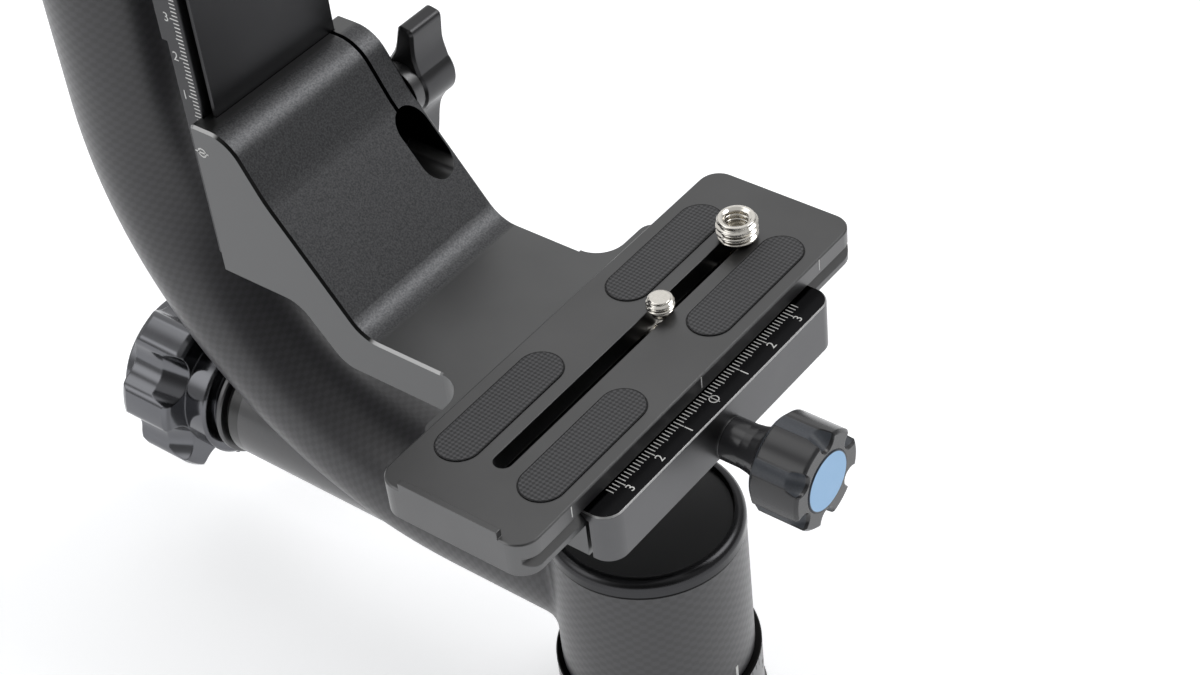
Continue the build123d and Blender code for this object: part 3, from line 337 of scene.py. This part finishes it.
def woven():
    """Plain weave of black fibre under satin lacquer, laid along the tube and round both housings."""
    surface = Surface("woven_fibre", (0.034, 0.034, 0.038), 0.4, Coat_Weight=0.25, Coat_Roughness=0.3)
    along, around = arm_lines(surface)
    weave = surface.times(surface.wave(along, WEAVE_ALONG), surface.wave(around, WEAVE_AROUND))
    over = surface.span(weave, -0.5, 0.5, smooth=True)
    fibre = surface.noise(1.2, 2.0)
    tone = surface.times(over, surface.span(fibre, 0.3, 0.7, 0.8, 1.1))
    surface.set("Base Color", surface.blend(tone, (0.024, 0.0235, 0.026), (0.036, 0.035, 0.039)))
    surface.set("Roughness", surface.span(over, 0.0, 1.0, 0.44, 0.39))
    surface.relief(over, 0.008)
    return surface


def knit_pad():
    """Rubber pressed with rows of small studs, lighter on their tops and darker between them as painted light
    and shade, inside a plain black border.
    """
    surface = Surface("pad_rubber", (0.05, 0.05, 0.05), 0.55, Specular_IOR_Level=0.35)
    x, y, _ = surface.place()
    across = surface.minus(surface.apart(x, PLATE_X), PAD_X)
    endways = surface.apart(surface.apart(y, PLATE_Y), PAD_Y)
    past_end = surface.math("MAXIMUM", 0.0, surface.minus(endways, PAD_HALF_Y - PAD_HALF_X))
    inner = PAD_HALF_X - PAD_BORDER
    border = surface.span(surface.length(across, past_end), inner, inner + 0.15)
    studs = surface.times(surface.wave(surface.total(x, y), STUD_PERIOD),
                          surface.wave(surface.minus(x, y), STUD_PERIOD))
    height = surface.span(studs, -0.7, 0.7, smooth=True)
    # painted light and shade: the studs' tops are coloured lighter and the hollows between them darker
    field = surface.blend(height, (0.036, 0.036, 0.038), (0.09, 0.09, 0.094))
    surface.set("Base Color", surface.blend(border, field, (0.008, 0.008, 0.009)))
    surface.set("Roughness", surface.span(surface.noise(3.0), 0.3, 0.7, 0.48, 0.62))
    surface.relief(surface.minus(height, border), 0.15)
    return surface


def clamp_knob_finish():
    """Gloss black body with a matt, bluish, grainy skin in its flutes."""
    surface = polished("clamp_knob", (0.03, 0.03, 0.032), 0.27, 0.0)
    x, y, z = surface.place()
    radius = surface.length(y, surface.minus(z, KNOB_Z))
    fluted = surface.times(surface.below(radius, FLUTE_R, 0.1), surface.above(x, FLUTE_BACK, 0.2),
                           surface.below(x, FLUTE_FRONT, 0.1))
    grain = surface.noise(2.5, 3.0)
    skin = surface.blend(grain, (0.035, 0.039, 0.046), (0.075, 0.084, 0.1))
    surface.set("Base Color", surface.blend(fluted, surface.colour(), skin))
    surface.set("Roughness", surface.span(fluted, 0.0, 1.0, 0.2, 0.45))
    surface.relief(surface.times(fluted, grain), 0.03, 0.5)
    return surface


def blue_disc():
    """Light blue disc with a thin dark border."""
    surface = Surface("disc_blue", (0.385, 0.66, 0.99), 0.35, Specular_IOR_Level=0.3)
    _, y, z = surface.place()
    radius = surface.length(y, surface.minus(z, KNOB_Z))
    border = surface.above(radius, DISC_R - DISC_BORDER, 0.1)
    cloud = surface.noise(0.4, 3.0)
    face = surface.blend(cloud, (0.37, 0.65, 0.98), (0.40, 0.67, 1.0))
    surface.set("Base Color", surface.blend(border, face, (0.02, 0.03, 0.05)))
    surface.set("Roughness", surface.span(surface.noise(3.0), 0.3, 0.7, 0.3, 0.4))
    return surface


def cap_finish():
    """Dished cap: a dark polished dish inside a satin rolled rim, with painted shade in the thin seam between
    them and along the cap's lowest edge.
    """
    surface = anodised("pan_cap", (0.042, 0.042, 0.044), 0.24, 0.003, 0.3)
    x, y, z = surface.place()
    radius = surface.length(x, y)
    dish = surface.below(radius, CAP_DISH_R - 0.3, 0.2)
    # painted shade in the seam between dish and rim, and along the bottom where the cap meets the housing
    seam_shade = surface.span(surface.apart(radius, CAP_DISH_R - 0.1), 0.3, 0.15)
    seam_shade = surface.math("MAXIMUM", seam_shade, surface.below(z, CAP_SEAM_TOP, 0.05))
    colour = surface.blend(dish, surface.colour(), (0.055, 0.055, 0.056))
    surface.set("Base Color", surface.blend(seam_shade, colour, (0.004, 0.004, 0.004)))
    surface.set("Roughness", surface.span(dish, 0.0, 1.0, 0.24, 0.34))
    return surface


def ring_finish():
    """Grey outside, with painted shade making the top face near black."""
    surface = anodised("ring_grey", (0.15, 0.151, 0.154), 0.33, 0.004)
    # painted shade: the faces that look up are coloured near black
    top = surface.span(surface.facing()[2], 0.5, 0.6)
    surface.set("Base Color", surface.blend(top, surface.colour(), (0.01, 0.01, 0.01)))
    return surface


satin_black = anodised("satin_black", (0.12, 0.12, 0.122), 0.37)
rail_black = anodised("rail_black", (0.045, 0.045, 0.047), 0.35)
plate_black = anodised("plate_black", (0.12, 0.12, 0.121), 0.34, 0.004, 0.3)
bracket_black = bracket_finish()
jaw_black = jaw_finish()
knob_black = polished("knob_black", (0.13, 0.132, 0.141), 0.14, 1.0)
wing_black = anodised("wing_black", (0.068, 0.068, 0.07), 0.33, 0.004, 0.4)
ring_grey = ring_finish()
nickel = metal("nickel", (0.83, 0.8, 0.74), 0.14)
steel = metal("steel", (0.5, 0.49, 0.47), 0.25, (1, 1, 4))
bronze = metal("brake_bronze", (0.55, 0.33, 0.14), 0.4)
rubber = plain("seal_rubber", (0.015, 0.015, 0.015), 0.7)
nylon = plain("washer_plastic", (0.2, 0.2, 0.19), 0.5)
white_paint = plain("white_paint", (0.82, 0.82, 0.8), 0.5)
black_paint = plain("black_paint", (0.02, 0.02, 0.02), 0.5)

FINISHES = {
    satin_black: ("pan_base", "wing_washer", "pan_housing_liner", "tilt_housing_liner", "tilt_pressure_plate",
                  "tilt_spindle", "rail_screws", "rail_stop_screws", "clamp_collar", "clamp_stud",
                  "pan_lock_shaft", "pan_lock_washer"),
    rail_black: ("rail",),
    plate_black: ("camera_plate",),
    bracket_black: ("bracket",),
    jaw_black: ("clamp_jaw",),
    knob_black: ("pan_lock_knob", "tilt_lock_knob", "pan_lock_cap", "tilt_lock_cap"),
    wing_black: ("wing_knob",),
    ring_grey: ("pan_scale_ring",),
    nickel: ("quarter_screw_washer", "bush_screw_washer"),
    steel: ("pan_spindle", "spindle_screws", "pan_retaining_nut", "tilt_retaining_nut", "pan_shaft_clip",
            "jaw_guide_pins", "jaw_springs", "wing_stud", "pan_bearing_inner_races",
            "pan_bearing_outer_races", "pan_bearing_balls", "tilt_bearing_inner_races",
            "tilt_bearing_outer_races", "tilt_bearing_balls"),
    bronze: ("pan_brake_plunger", "pan_brake_pad"),
    rubber: ("pan_lock_seal",),
    nylon: ("tilt_friction_washer",),
    boss_finish(): ("lock_boss",),
    woven(): ("carbon_arm",),
    knit_pad(): ("pad_near_left", "pad_near_right", "pad_far_left", "pad_far_right"),
    clamp_knob_finish(): ("clamp_knob",),
    blue_disc(): ("clamp_knob_disc",),
    cap_finish(): ("pan_cap",),
}


def dress(thing, surface):
    """Give every material slot of an object one material."""
    if not thing.material_slots:
        thing.data.materials.append(surface.material)
    for material_slot in thing.material_slots:
        material_slot.material = surface.material


for surface, names in FINISHES.items():
    for name in names:
        dress(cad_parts[name], surface)


# ---- printed marks ----
class Print:
    """Raised paint on a flat face, drawn in the face's own directions, or wrapped round a drum about Z."""

    def __init__(self, origin, right, up, drum=0.0):
        self.mesh = bmesh.new()
        self.origin, self.right, self.up = Vector(origin), Vector(right), Vector(up)
        self.out = self.right.cross(self.up)
        self.drum = drum

    def point(self, x, y, out):
        if self.drum:
            turn, reach = x / self.drum, self.drum + out
            return Vector((reach * cos(turn), reach * sin(turn), y)) * MM
        return (self.origin + x * self.right + y * self.up + out * self.out) * MM

    def patch(self, outline):
        """A closed slab over an outline given anticlockwise."""
        low = [self.mesh.verts.new(self.point(x, y, -PAINT)) for x, y in outline]
        high = [self.mesh.verts.new(self.point(x, y, PAINT)) for x, y in outline]
        self.mesh.faces.new(low[::-1])
        self.mesh.faces.new(high)
        for i in range(len(outline)):
            j = (i + 1) % len(outline)
            self.mesh.faces.new((low[i], low[j], high[j], high[i]))

    def line(self, start, end, width):
        run = Vector(end) - Vector(start)
        side = Vector((-run.y, run.x)).normalized() * width / 2
        corners = (Vector(start) - side, Vector(end) - side, Vector(end) + side, Vector(start) + side)
        self.patch([tuple(corner) for corner in corners])

    def circle(self, centre, radius, width, parts=32):
        for i in range(parts):
            a, b = tau * i / parts, tau * (i + 1) / parts
            ends = [(r * cos(t) + centre[0], r * sin(t) + centre[1])
                    for r, t in ((radius, a), (radius + width, a), (radius + width, b), (radius, b))]
            self.patch(ends)

    def number(self, text, centre, height):
        """A number in Blender's own font, centred on a point."""
        curve = bpy.data.curves.new("number", "FONT")
        curve.body = text
        curve.extrude = PAINT
        written = bpy.data.objects.new("number", curve)
        mesh = bpy.data.meshes.new_from_object(written)
        low = [min(v.co[i] for v in mesh.vertices) for i in range(2)]
        high = [max(v.co[i] for v in mesh.vertices) for i in range(2)]
        scale = height / (high[1] - low[1])
        added = bmesh.new()
        added.from_mesh(mesh)
        for v in added.verts:
            x = (v.co.x - (low[0] + high[0]) / 2) * scale + centre[0]
            y = (v.co.y - (low[1] + high[1]) / 2) * scale + centre[1]
            v.co = self.point(x, y, v.co.z)
        added.to_mesh(mesh)
        added.free()
        self.mesh.from_mesh(mesh)
        bpy.data.objects.remove(written)
        bpy.data.meshes.remove(mesh)
        bpy.data.curves.remove(curve)

    def done(self, name, body, paint=white_paint):
        piece(name, self.mesh, body, paint)


def piece(name, built, body, surface, smooth=False):
    """Make an object of a finished bmesh, and let it ride on a body."""
    mesh = bpy.data.meshes.new(name)
    bmesh.ops.remove_doubles(built, verts=built.verts, dist=WELD)
    bmesh.ops.recalc_face_normals(built, faces=built.faces)
    built.to_mesh(mesh)
    built.free()
    thing = bpy.data.objects.new(name, mesh)
    bpy.context.scene.collection.objects.link(thing)
    for polygon in mesh.polygons:
        polygon.use_smooth = smooth
    dress(thing, surface)
    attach(thing, body)
    return thing


def tick_reach(count, reaches):
    """The reach of the first step that a count is a multiple of."""
    return next(reach for step, reach in reaches if count % step == 0)


JAW_SCALE_X = 20.5                      # the jaw's marks are measured from here, outwards as negative
JAW_TICKS = range(-33, 34)
JAW_REACHES = ((10, 1.4), (5, 1.0), (1, 0.7))
JAW_INSET = 1.2                         # how far the ticks run back under the plate
JAW_DIGIT_AT, JAW_DIGIT_H = -2.6, 2.1
ZERO_REACH, ZERO_CIRCLE_AT, ZERO_CIRCLE_R = 3.4, -1.9, 0.9


def jaw_scale():
    """Millimetres each way from zero, printed under the plate's edge."""
    marks = Print((JAW_SCALE_X, 0, JAW_TOP), (0, 1, 0), (-1, 0, 0))
    for tick in JAW_TICKS:
        if tick:
            marks.line((tick, JAW_INSET), (tick, -tick_reach(tick, JAW_REACHES)), 0.25)
    for count in (-3, -2, -1, 1, 2, 3):
        marks.number(str(abs(count)), (count * 10, JAW_DIGIT_AT), JAW_DIGIT_H)
    marks.line((0, JAW_INSET), (0, -ZERO_REACH), 0.2)
    marks.circle((0, ZERO_CIRCLE_AT), ZERO_CIRCLE_R, 0.25)
    marks.done("jaw_scale", "jaw")


RAIL_EDGE_X = -94.85                    # right ends of the rail's ticks, where its edge rounds over
RAIL_ZERO_Z = 148.3
RAIL_TICKS = range(-30, 81)
RAIL_REACHES = ((10, 2.5), (5, 2.1), (1, 1.7))
RAIL_DIGIT_AT, RAIL_DIGIT_H = -3.7, 2.3


def rail_scale():
    """Millimetres up the rail's near face, numbered in centimetres."""
    marks = Print((RAIL_EDGE_X, RAIL_NEAR_Y, RAIL_ZERO_Z), (1, 0, 0), (0, 0, 1))
    for tick in RAIL_TICKS:
        marks.line((-tick_reach(tick, RAIL_REACHES), tick), (0, tick), 0.3)
    for count in range(-3, 9):
        if count:
            marks.number(str(abs(count)), (RAIL_DIGIT_AT, count * 10), RAIL_DIGIT_H)
    marks.done("rail_scale", "tilt")


INDEX_X, INDEX_Z, INDEX_R = -92.9, 147.2, 0.85
INDEX_LEFT, INDEX_RIGHT = -2.0, 1.9


def bracket_index():
    """Circle and line that are read against the rail's scale."""
    marks = Print((INDEX_X, BRACKET_NEAR_Y, INDEX_Z), (1, 0, 0), (0, 0, 1))
    marks.circle((0, 0), INDEX_R, 0.4)
    marks.line((INDEX_LEFT, 0), (INDEX_RIGHT, 0), 0.4)
    marks.done("bracket_index", "camera_bracket")


PLATE_MARK_Z, PLATE_MARK_DOWN, PLATE_MARK_UP = 115.2, -1.4, 1.5
PLATE_MARKS_Y = (-44, 0, 44)


def plate_index():
    """Three upright lines on the side of the camera plate."""
    marks = Print((PLATE_SIDE_X, 0, PLATE_MARK_Z), (0, 1, 0), (0, 0, 1))
    for y in PLATE_MARKS_Y:
        marks.line((y, PLATE_MARK_DOWN), (y, PLATE_MARK_UP), 0.3)
    marks.done("plate_index", "plate")


HOUSING_MARK_LOW, HOUSING_MARK_HIGH = 24.6, 28.4


def housing_index():
    """Line on the panning housing that is read against the ring's scale."""
    marks = Print((0, 0, 0), (0, 1, 0), (0, 0, 1), SHELL_R)
    marks.line((0, HOUSING_MARK_LOW), (0, HOUSING_MARK_HIGH), 0.9)
    marks.done("housing_index", "arm")


RING_TICKS_TOP = 23.0
RING_REACHES = ((30, 3.0), (10, 2.2), (5, 1.4))
RING_DIGIT_AT, RING_DIGIT_H = 17.6, 2.2


def ring_scale():
    """Degrees round the base, numbered every thirty."""
    marks = Print((0, 0, 0), (0, 1, 0), (0, 0, 1), RING_R)
    for degree in range(0, 360, 5):
        along = RING_R * radians(degree)
        low = RING_TICKS_TOP - tick_reach(degree, RING_REACHES)
        marks.line((along, low), (along, RING_TICKS_TOP), 0.3)
    for degree in range(0, 360, 30):
        marks.number(str(degree), (RING_R * radians(degree), RING_DIGIT_AT), RING_DIGIT_H)
    marks.done("ring_scale", "base", black_paint)


jaw_scale()
rail_scale()
bracket_index()
plate_index()
housing_index()
ring_scale()


# ---- threads ----
THREAD_LOW = 117.6                      # where the threads begin, above the plate
THREAD_DEPTH = 0.55                     # a thread's depth over its pitch
THREAD_SLOPE = 1.15                     # over 1, which leaves the root between two crests flat
ROWS_PER_PITCH = 16
STEM_R = 1.95                           # the screws' stems, under their threads
SCREW_CHAMFER, BUSH_CHAMFER = 0.5, 0.55
SCREW_TIP = ((0.25, 2.5), (0.05, 2.35), (0.0, 2.1))     # how far below the top, and the radius there
BUSH_LIP_H = 0.3
BUSH_LIP = ((0.25, 4.3), (0.05, 4.1), (0.0, 3.85), (0.0, 3.4), (BUSH_LIP_H, 3.2))
BUSH_BORE_R = 3.3                       # largest radius of the bush's inner thread


def thread_radius(major, pitch, turn, height):
    """Radius of a thread with rounded crests at a turn and a height."""
    phase = height / pitch - turn / tau
    across = abs(phase - floor(phase) - 0.5) * 2
    depth = THREAD_DEPTH * pitch * (0.5 - 0.5 * cos(pi * min(1.0, across * THREAD_SLOPE)))
    return major - depth


def turned(built, rows, centre, parts=72):
    """Add a body of revolution. Each row is a height and a radius, which may depend on the turn."""
    rings = []
    for height, radius in rows:
        ring = []
        for i in range(parts):
            turn = tau * i / parts
            reach = radius(turn) if callable(radius) else radius
            ring.append(built.verts.new(((centre[0] + reach * cos(turn)) * MM,
                                         (centre[1] + reach * sin(turn)) * MM, height * MM)))
        rings.append(ring)
    for low, high in zip(rings, rings[1:]):
        for i in range(parts):
            j = (i + 1) % parts
            built.faces.new((low[i], low[j], high[j], high[i]))
    return rings


def threaded_rows(major, pitch, low, high, chamfer):
    """Rows of an outside thread that is turned down by a chamfer at both ends."""
    rows = []
    count = ceil((high - low) / pitch * ROWS_PER_PITCH)
    for k in range(count + 1):
        height = low + (high - low) * k / count
        limit = major - chamfer + min(height - low, high - height)
        rows.append((height, lambda turn, h=height, m=limit: min(m, thread_radius(major, pitch, turn, h))))
    return rows


def screw(name, node, body, centre, top):
    """A camera screw: the node's head and stem under a real thread."""
    built = bmesh.new()
    built.from_mesh(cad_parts[node].data)
    bmesh.ops.remove_doubles(built, verts=built.verts, dist=WELD)
    above = [v for v in built.verts if v.co.z > (THREAD_LOW - 0.01) * MM]
    bmesh.ops.delete(built, geom=above, context="VERTS")
    rows = [(PLATE_TOP - 1.0, STEM_R), (THREAD_LOW, STEM_R)]
    rows += threaded_rows(QUARTER_R, QUARTER_PITCH, THREAD_LOW, top - SCREW_TIP[0][0], SCREW_CHAMFER)
    rows += [(top - drop, radius) for drop, radius in SCREW_TIP]
    rings = turned(built, rows, centre)
    built.faces.new(rings[-1])
    thing = piece(name, built, body, nickel, smooth=True)
    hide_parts(node)


def bush():
    """The larger bush, threaded outside and in."""
    built = bmesh.new()
    end = BUSH_TOP - BUSH_LIP_H
    outer = threaded_rows(BUSH_R, BUSH_PITCH, THREAD_LOW, end, BUSH_CHAMFER)
    lip = [(BUSH_TOP - drop, radius) for drop, radius in BUSH_LIP]
    count = ceil((end - THREAD_LOW) / QUARTER_PITCH * ROWS_PER_PITCH)
    inner = []
    for k in range(count + 1):
        height = end - (end - THREAD_LOW) * k / count
        inner.append((height, lambda turn, h=height: thread_radius(BUSH_BORE_R, QUARTER_PITCH, turn, h)))
    rings = turned(built, outer + lip + inner, (PLATE_X, BUSH_Y))
    first, last = rings[0], rings[-1]
    for i in range(len(first)):
        j = (i + 1) % len(first)
        built.faces.new((last[i], last[j], first[j], first[i]))
    thing = piece("bush_thread", built, "bush_bolt", nickel, smooth=True)
    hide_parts("thread_bush")


screw("quarter_screw_thread", "quarter_screw", "quarter_bolt", (PLATE_X, QUARTER_Y), QUARTER_TOP)
screw("bush_screw_thread", "bush_screw", "bush_bolt", (PLATE_X, BUSH_Y), BUSH_SCREW_TOP)
bush()


# ---- floor, light and camera ----
FLOOR_HALF = 4.0                        # metres
FLOOR_GLOW, FLOOR_GLOW_SEEN = 0.5, 0.42     # in reflections, and from the camera
SKY_LEVEL = 0.55
SKY_PATCHES = (                         # direction, change of level, and the cosines where it begins and ends
    ((-0.50, -0.66, 0.56), 1.4, 0.93, 0.99),
    ((0.56, -0.80, 0.20), -0.45, 0.55, 0.95),
    ((-0.50, 0.56, 0.66), 0.3, 0.6, 0.95),
    ((0.75, 0.56, 0.35), -0.25, 0.6, 0.95),
    ((-0.53, 0.0, 0.85), 1.0, 0.94, 0.99),
)
KEY_TOWARD, KEY_SPREAD, KEY_STRENGTH = (0.65, 0.83, 1.17), 30, 0.8
# The camera was fitted to the straight edges of the plate, the clamp and the rail in the photo.
SENSOR, FOCAL_LENGTH = 36.0, 73.4687
CAMERA_PLACE = (0.253069, -0.291023, 0.456822)      # metres
CAMERA_TURN = (48.6139, 5.1913, 37.2168)            # degrees


def floor_sheet():
    """Pale floor that looks white from the camera and in metal, and keeps the shadow."""
    built = bmesh.new()
    bmesh.ops.create_grid(built, x_segments=8, y_segments=8, size=FLOOR_HALF)
    mesh = bpy.data.meshes.new("floor")
    built.to_mesh(mesh)
    built.free()
    sheet = bpy.data.objects.new("floor", mesh)
    bpy.context.scene.collection.objects.link(sheet)
    surface = Surface("floor", (0.96, 0.97, 0.99), 0.9, Specular_IOR_Level=0.0)
    rays = surface.node("ShaderNodeLightPath", "Is Camera Ray", {}).node.outputs
    seen = surface.total(rays["Is Camera Ray"], rays["Is Glossy Ray"], rays["Is Transmission Ray"])
    strength = surface.mix(rays["Is Camera Ray"], FLOOR_GLOW, FLOOR_GLOW_SEEN)
    glow = surface.node("ShaderNodeEmission", 0, {"Color": (1, 1, 1, 1), "Strength": strength})
    lit = surface.shader.outputs[0]
    both = surface.node("ShaderNodeAddShader", 0, {0: glow, 1: lit})
    shown = surface.node("ShaderNodeMixShader", 0, {0: seen, 1: lit, 2: both})
    surface.join(shown, surface.tree.nodes["Material Output"].inputs["Surface"])
    dress(sheet, surface)


def studio_world():
    """Soft surroundings, brighter and darker by direction, behind a plain white background."""
    world = bpy.data.worlds.new("studio")
    world.use_nodes = True
    bpy.context.scene.world = world
    sky = Nodes(world.node_tree)
    direction = sky.node("ShaderNodeTexCoord", "Generated", {})
    level = SKY_LEVEL
    for aim, change, edge, core in SKY_PATCHES:
        toward = sky.node("ShaderNodeVectorMath", "Value", {0: direction, 1: Vector(aim).normalized()},
                          operation="DOT_PRODUCT")
        level = sky.math("ADD", level, sky.span(toward, edge, core, 0.0, change, smooth=True))
    surround = sky.node("ShaderNodeBackground", 0, {"Color": (1, 1, 1, 1), "Strength": level})
    white = sky.node("ShaderNodeBackground", 0, {"Color": (1, 1, 1, 1), "Strength": 1.0})
    camera_ray = sky.node("ShaderNodeLightPath", "Is Camera Ray", {})
    shown = sky.node("ShaderNodeMixShader", 0, {0: camera_ray, 1: surround, 2: white})
    sky.join(shown, world.node_tree.nodes["World Output"].inputs["Surface"])


def far_lamp(name, direction, spread, strength):
    """A wide, soft lamp far off in a direction; its spread is in degrees."""
    lamp = bpy.data.lights.new(name, "SUN")
    lamp.angle = radians(spread)
    lamp.energy = strength
    thing = bpy.data.objects.new(name, lamp)
    thing.rotation_euler = Vector(direction).to_track_quat("Z", "Y").to_euler()
    bpy.context.scene.collection.objects.link(thing)


def camera():
    lens = bpy.data.cameras.new("camera")
    lens.sensor_width = SENSOR
    lens.lens = FOCAL_LENGTH
    lens.clip_start = 0.01
    thing = bpy.data.objects.new("camera", lens)
    thing.location = CAMERA_PLACE
    thing.rotation_euler = [radians(angle) for angle in CAMERA_TURN]
    bpy.context.scene.collection.objects.link(thing)
    bpy.context.scene.camera = thing


floor_sheet()
studio_world()
far_lamp("key", KEY_TOWARD, KEY_SPREAD, KEY_STRENGTH)
camera()
bpy.context.scene.view_settings.view_transform = "Standard"
